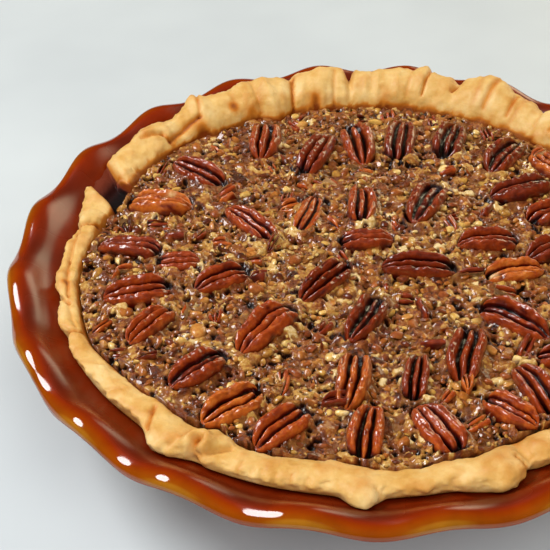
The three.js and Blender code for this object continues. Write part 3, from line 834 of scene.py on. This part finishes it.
def cad_bits():
    kept = []
    for size, (length, tries) in enumerate(BIT_SIZES):
        for k in range(tries):
            radius = SPIRAL_RADIUS * sqrt((k + 0.5) / tries)
            bearing = (SPIRAL_TURN * k + SIZE_TURN * size) % 360
            x, y = polar(radius, bearing)
            clear = radius + length / 2 + RIM_CLEARANCE < rim_at(bearing)[0] and all(
                from_axis(x, y, p, AXIS_REACH * p[3]) > (p[4] + length) / 2 + BIT_CLEARANCE
                for p in PECANS)
            if clear and all(dist((x, y), b[:2]) > (length + b[2]) / 2 + BIT_CLEARANCE
                             for b in kept):
                kept.append((x, y, length))
    return kept


# Loose bits: spacing of their grid, share of places kept, lengths, lifts over the film.
LOOSE_BITS = [
    (5.2, 0.7, (4.4, 6.6), (-0.6, 0.3)), (3.7, 0.6, (2.6, 4), (-0.2, 0.6)),
    (2.8, 0.45, (1.4, 2.4), (0, 0.7)),
]
# Kinds of bit: piece, material, least tone drawn for it, tones, colours by tone.
BIT_KINDS = [
    ("bits_golden", "chopped_flesh", 0.66, (0.15, 0.85), {
        0.05: "#86541e", 0.3: "#b48034", 0.55: "#d0a04a", 0.8: "#e4be70", 1: "#f2dca6"}),
    ("bits_amber", "chopped_amber", 0.42, (0.15, 0.85), {
        0.05: "#5c280c", 0.35: "#944e1a", 0.6: "#b06a28", 0.85: "#c88e44"}),
    ("bits_brown", "chopped_skin", 0, (0.1, 0.85), {
        0.05: "#30100a", 0.35: "#5e2410", 0.6: "#86401a", 0.9: "#a85e2a"}),
]


def ball():
    """Points and faces of a round ball of 80 triangles, radius 1."""
    made = bmesh.new()
    bmesh.ops.create_icosphere(made, subdivisions=2, radius=1)
    points = np.array([v.co[:] for v in made.verts])
    faces = np.array([[v.index for v in f.verts] for f in made.faces])
    made.free()
    return points, faces


def chunk(unit, length, draw):
    """A chopped piece of nut: a lump with a few flat, cut sides."""
    points = unit.copy()
    for _ in range(CUTS):
        side = draw.normal(size=3)
        side /= np.linalg.norm(side)
        beyond = points @ side - draw.uniform(0.45, 0.8)
        points -= np.maximum(beyond, 0)[:, None] * side
    points *= [length / 2, length * draw.uniform(0.26, 0.42), length * draw.uniform(0.2, 0.32)]
    tilt = about("Y", draw.uniform(-0.5, 0.5)) @ about("X", draw.uniform(-0.6, 0.6))
    return points @ np.array(about("Z", draw.uniform(0, tau)) @ tilt).T


def make_bits(name, places, tones, material, draw, relief):
    """One piece with all bits of a kind; places are x, y, length and lift."""
    unit, unit_faces = ball()
    points, faces, tone = [], [], []
    for n, (x, y, length, lift) in enumerate(places):
        lump = chunk(unit, length, draw)
        points.append(lump + [x, y, custard_level(x, y, relief) + lift])
        faces.append(unit_faces + n * len(unit))
        tone.append(np.full(len(unit), draw.uniform(*tones)))
    points = np.concatenate(points)
    x, y, z = points.T
    above = z - custard_level(x, y, relief)
    marks = {"tone": np.concatenate(tone), "film": 0.9 * smoothstep(1.5, 0.1, above)}
    add_piece(name, points, np.concatenate(faces).tolist(), material, ["filling"],
              marks, sharp=38)


def scatter(spacing, keep, clearance, draw):
    """Places on a jittered grid over the filling, clear of pecan halves and the rim."""
    steps = np.arange(-114, 114, spacing)
    x, y = (a.ravel() for a in np.meshgrid(steps, steps))
    x = x + draw.uniform(-0.5, 0.5, x.size) * spacing
    y = y + draw.uniform(-0.5, 0.5, y.size) * spacing
    kept = (from_rim(x, y) > clearance + 0.3) & (from_pecans(x, y) > clearance) & (
        draw.random(x.size) < keep)
    return x[kept], y[kept]


def make_filling_bits(draw, relief):
    places = {name: [] for name, *_ in BIT_KINDS}

    def sort_in(x, y, length, lift):
        pick = pick_tone(x, y, draw)
        name = next(name for name, _, least, *_ in BIT_KINDS if pick >= least)
        places[name].append((x, y, length, lift))

    for x, y, length in cad_bits():
        sort_in(x, y, length * draw.uniform(0.8, 1), draw.uniform(-0.4, 0.4))
    for spacing, keep, lengths, lifts in LOOSE_BITS:
        for x, y in zip(*scatter(spacing, keep, 0.15 * lengths[0], draw)):
            sort_in(x, y, draw.uniform(*lengths), draw.uniform(*lifts))
    for name, finish, _, tones, stops in BIT_KINDS:
        make_bits(name, places[name], tones, bit_material(finish, stops), draw, relief)


# ---- pecan halves
SUNK = 1.3  # how far a half has settled into the custard
PECAN_BASE = -1.6  # its hidden underside, below its seat
# Halves darker and lighter than the rest, and the tones of all three kinds.
DARK_PECANS = {2, 4, 5, 6, 7, 12, 19, 20, 21, 22, 23, 25, 26, 29, 30}
LIGHT_PECANS = {10, 17, 24, 31, 33, 35, 36, 38, 39}
DARK_TONES, PLAIN_TONES, LIGHT_TONES = (0.3, 0.42), (0.42, 0.54), (0.56, 0.7)
# Halves with a broken pale spot: number, place along and across it, both -1 to 1.
PALE_SPOTS = {10: (0.35, -0.4), 24: (-0.75, 0.2)}
# Powers that round the outline's ends, the parted one and the other, and each lobe.
PARTED_END, JOINED_END, ROUND_ALONG, ROUND_ACROSS = 4.2, 2.5, 3.4, 2.4
# Side lobes and the ridge between them, as shares of the half width and of the height.
LOBE_AT, LOBE_HALF, LOBE_TOP = 0.67, 0.34, (0.85, 1.05)
RIDGE_SHIFT, RIDGE_HALF, RIDGE_TOP = 0.07, (0.22, 0.31), (0.6, 1.02)
VEINED, WRINKLED, LUMPY = 0.1, 0.1, 0.08  # depths of texture, as shares of the height


def pecan_mesh(length, width, height, draw, spot=None, stations=65, columns=57):
    """Points, faces and marks of one half: two side lobes and a ridge, with deep grooves."""
    t = np.sin(np.linspace(-1, 1, stations) * pi / 2)[:, None]
    u = np.linspace(-1, 1, columns)
    cleft = draw.choice([-1.0, 1.0])  # the end at which the lobes part
    toward, end = t * cleft, np.abs(t)
    seed = draw.uniform(0, 90)
    half = (width / 2) * dome(end, np.where(toward > 0, PARTED_END, JOINED_END))
    half *= 1 + draw.uniform(-0.04, 0.08) * toward
    grid = np.stack(np.broadcast_arrays(t * length / 2, u * half, seed), 2)
    veins = fractal(grid * [0.25, 1, 1], 1.3, 3, 5)
    wrinkle = fractal(grid * [1, 0.35, 1], 1.9, 3, 9)
    lumps = fractal(grid, 4.5, 2, 2)
    place = u + 0.1 * fractal(grid * [1, 0.2, 1], 9, 2)

    parting = smoothstep(0.2, 1, toward)
    shift = draw.uniform(-RIDGE_SHIFT, RIDGE_SHIFT)
    lobes = ((0.3 * shift - LOBE_AT, LOBE_HALF, draw.uniform(*LOBE_TOP)),
             (shift, draw.uniform(*RIDGE_HALF), draw.uniform(*RIDGE_TOP)),
             (0.3 * shift + LOBE_AT, LOBE_HALF, draw.uniform(*LOBE_TOP)))
    joined = 0.5 * height * smoothstep(-0.35, -0.95, toward) * (1 - place ** 2)
    surface = np.maximum(joined * dome(end, 4), 0)
    surface = np.maximum(surface, 0.28 * height * (np.abs(place) < 0.8) * (1 - parting))
    for middle, half_width, top in lobes:
        reach = np.where(toward > 0, draw.uniform(0.8, 1), 1)
        rise = height * top * dome(end / reach, ROUND_ALONG)
        across = np.abs(place - middle) / (half_width * (1 - 0.2 * parting))
        surface = np.maximum(surface, rise * dome(across, ROUND_ACROSS))
    ceiling = height * dome(end, ROUND_ALONG, 0.02)
    low = smoothstep(0.74, 0.3, surface / ceiling)
    z = surface * (1 + VEINED * veins + WRINKLED * wrinkle + LUMPY * lumps)
    foot = 0.12 * height
    z = np.where(surface < foot, PECAN_BASE * (1 - surface / foot) + z, z)
    flesh = np.zeros(z.shape)
    if spot:
        flesh = bell(np.hypot((t - spot[0]) * 2.4, u - spot[1]) + 0.3 * lumps, 0.32)
        z -= 0.5 * flesh

    bend = draw.uniform(-0.09, 0.09) * width
    x = t * length / 2 + 0 * u
    y = -(u * half) + bend * (t ** 2 - 0.4)
    upper = np.stack([x, y, z], 2)
    lower = upper[:, -9:0:-8] * [1, 0.9, 0] + [0, 0, PECAN_BASE - 0.6]
    points, faces = loft(np.concatenate([upper, lower], 1))
    inside = smoothstep(0.98, 0.72, np.abs(place))
    # Painted shade: darker the lower the surface lies, less so toward the outline, lighter on
    # veins, darker in dips; the underside gets 0.8.
    dark = low * mix(0.4, 1, inside) - 0.35 * veins + 0.25 * np.clip(-lumps, 0, 1)
    marks = {}
    for mark, values, below in ("groove_shade", dark, 0.8), ("flesh", flesh, 0):
        values = np.pad(values.clip(0, 1), ((0, 0), (0, lower.shape[1])), constant_values=below)
        marks[mark] = capped(values, below)
    return points, faces, marks


def make_pecans(material, draw):
    for number, (x, y, turn, length, width, height) in enumerate(PECANS, 1):
        spot = PALE_SPOTS.get(number)
        points, faces, marks = pecan_mesh(length, width, height, draw, spot)
        lean = about("X", radians(draw.uniform(-11, 11)))
        pitch = about("Y", radians(draw.uniform(-3, 3)))
        spin = about("Z", radians(turn))
        points = points @ np.array(spin @ pitch @ lean).T + [x, y, FILL_Z + GAP - SUNK]
        tones = (DARK_TONES if number in DARK_PECANS
                 else LIGHT_TONES if number in LIGHT_PECANS else PLAIN_TONES)
        marks["tone"] = np.full(len(points), draw.uniform(*tones))
        add_piece(f"pecan_half_{number:02d}", points, faces, material,
                  [f"pecan_{number:02d}"], marks)


# Large broken pieces of pecan: x, y, bearing of the ridges.
FRAGMENTS = [
    [-17, -55, 70], [-42, -17, 20], [76, 70, 30], [37, -74, 80], [-40, 60, 100], [-80, 10, 0],
    [50, 30, 60], [-8, -2, 120], [12, 20, 80], [40, -12, 10], [-60, 36, 40], [-66, -38, 60],
    [12, -22, 100], [76, -24, 30], [-38, 4, 70], [34, 58, 40], [-2, 56, 10], [84, 44, 150],
    [60, -54, 60], [-10, -84, 30], [-70, 72, 130], [-100, 14, 100], [-102, -16, 80],
    [28, -42, 20], [-30, -72, 110], [48, 60, 120], [-28, 44, 150], [90, 16, 60],
]
# Length, width and height before they broke.
WHOLE_LENGTH, WHOLE_WIDTH, WHOLE_HEIGHT = (12, 19), (5, 9), (2.8, 3.8)
# Where they are broken, as shares of the half length and half width.
BROKEN_ACROSS, BROKEN_ALONG = (-0.3, 0.35), (-0.3, 0.8)
FRAGMENT_POINTS = 33  # along and across
FRAGMENT_SUNK = 0.6  # below the film's level
# More between them: spacing, share of places kept, clearance.
MORE_FRAGMENTS = (13, 0.45, 3.5)


def make_fragments(material, draw, relief):
    """Broken, ridged pieces of pecan, half sunk, as one piece."""
    spots = FRAGMENTS + [
        [x, y, draw.uniform(0, 180)] for x, y in zip(*scatter(*MORE_FRAGMENTS, draw))]
    points, faces, marks = [], [], {"groove_shade": [], "flesh": [], "tone": []}
    for x, y, turn in spots:
        length, width = draw.uniform(*WHOLE_LENGTH), draw.uniform(*WHOLE_WIDTH)
        made, skin, piece_marks = pecan_mesh(length, width, draw.uniform(*WHOLE_HEIGHT), draw,
                                      stations=FRAGMENT_POINTS, columns=FRAGMENT_POINTS)
        along_side = draw.choice([-1.0, 1.0]) * draw.uniform(1.2, 1.9)
        for slant, place, half in (
                (draw.uniform(-0.7, 0.7), draw.uniform(*BROKEN_ACROSS), length / 2),
                (along_side, draw.uniform(*BROKEN_ALONG), width / 2)):
            side = np.array([cos(slant), sin(slant), draw.uniform(-0.3, 0.5)])
            beyond = np.maximum(made @ side - place * half, 0)
            made -= beyond[:, None] * side / (side @ side)
            piece_marks["flesh"] = np.maximum(piece_marks["flesh"], 0.85 * smoothstep(0, 0.3, beyond))
        made += [0.25 * length, 0, 0]
        tilt = about("X", draw.uniform(-0.5, 0.5)) @ about("Y", draw.uniform(-0.25, 0.25))
        spin = about("Z", radians(turn + draw.uniform(-15, 15)))
        z = custard_level(x, y, relief) - FRAGMENT_SUNK
        first = sum(len(part) for part in points)
        points.append(made @ np.array(spin @ tilt).T + [x, y, z])
        faces += [[corner + first for corner in face] for face in skin]
        piece_marks["tone"] = np.full(len(made), draw.uniform(0.2, 0.7))
        for mark, values in piece_marks.items():
            marks[mark].append(values)
    marks = {mark: np.concatenate(values) for mark, values in marks.items()}
    add_piece("nut_fragments", np.concatenate(points), faces, material, ["filling"],
              marks)


# ---- camera, floor, light
FOCAL_PIXELS = 1200  # focal length
FRAME_PIXELS = 550
CAMERA_AWAY = 487  # from the pie's middle
CAMERA_ELEVATION = 39.05
CAMERA_ROLL = -1.26
PIE_MIDDLE = Vector((0, 0, FILL_Z))
PIE_PIXEL = (364.3, 254.7)  # where it shows


def make_camera():
    data = bpy.data.cameras.new("camera")
    data.sensor_width = 36
    data.lens = data.sensor_width * FOCAL_PIXELS / FRAME_PIXELS
    camera = add_object("camera", data)
    lift = radians(CAMERA_ELEVATION)
    back = Vector((0, -cos(lift), sin(lift)))
    right = Vector((1, 0, 0))
    level = Matrix((right, back.cross(right), back))
    u, v = PIE_PIXEL
    middle = FRAME_PIXELS / 2
    ray = Vector(((u - middle) / FOCAL_PIXELS, (middle - v) / FOCAL_PIXELS, -1))
    aim = Vector((0, 0, -1)).rotation_difference(ray).to_matrix()
    turned = aim @ about("Z", radians(CAMERA_ROLL)) @ level
    place = (back * CAMERA_AWAY + PIE_MIDDLE) * MM
    camera.matrix_world = Matrix.Translation(place) @ turned.transposed().to_4x4()
    bpy.context.scene.camera = camera


FLOOR_HALF = 4000  # half width


def make_floor(material):
    signs = [[-1, -1, 0], [1, -1, 0], [1, 1, 0], [-1, 1, 0]]
    floor = add_mesh("floor", np.array(signs) * FLOOR_HALF, [[0, 1, 2, 3]], material)


AMBIENT = (0.066, 0.046, 0.024)  # a warm dim room all round
LAMP_AWAY = 1300  # from the pie's middle
# Lamps: name, bearing from +Y toward +X, elevation, size, power, tint, mirrored or not.
LAMPS = [
    ("window", -80, 50, (650, 470), 14, (0.98, 0.99, 1), True),
    ("wall", 33, 19, (1200, 800), 3.2, (1, 0.9, 0.6), True),
    ("wall_middle", 33, 18, (900, 560), 2.4, (1, 0.9, 0.6), True),
    ("fill", 170, 46, (1500, 1500), 17, (0.96, 0.98, 1), False),
    ("fill_behind", 20, 60, (1500, 1500), 3.9, (1, 0.99, 0.98), False),
]


def add_lamp(name, bearing, elevation, size, power, tint, mirrored):
    """A soft oval light that faces the pie; the glaze mirrors it or not."""
    data = bpy.data.lights.new(name, "AREA")
    data.shape = "ELLIPSE"
    data.size, data.size_y = size[0] * MM, size[1] * MM
    data.energy = power
    data.color = tint
    lamp = add_object(name, data)
    turn, lift = radians(bearing), radians(elevation)
    out = Vector((sin(turn) * cos(lift), cos(turn) * cos(lift),
                  sin(lift)))
    lamp.location = (out * LAMP_AWAY + PIE_MIDDLE) * MM
    lamp.rotation_euler = (-out).to_track_quat("-Z", "Y").to_euler()
    lamp.visible_camera = False
    lamp.visible_glossy = mirrored


def make_light():
    """A window on the left, a pale wall low behind, both mirrored, and soft fill."""
    world = bpy.data.worlds.new("studio")
    world.use_nodes = True
    world.node_tree.nodes["Background"].inputs["Color"].default_value = (*AMBIENT, 1)
    bpy.context.scene.world = world
    for lamp in LAMPS:
        add_lamp(*lamp)


# ---- the scene
make_camera()
make_floor(floor_material())
make_light()
bpy.context.scene.view_settings.view_transform = "Standard"

draw = np.random.default_rng(SEED)
make_dish(glaze_material())
make_crust(pastry_material(), draw)
relief = make_relief(draw)
make_custard(custard_material(), relief)
make_filling_bits(draw, relief)
pecan_finish = pecan_material()
make_fragments(pecan_finish, draw, relief)
make_pecans(pecan_finish, draw)
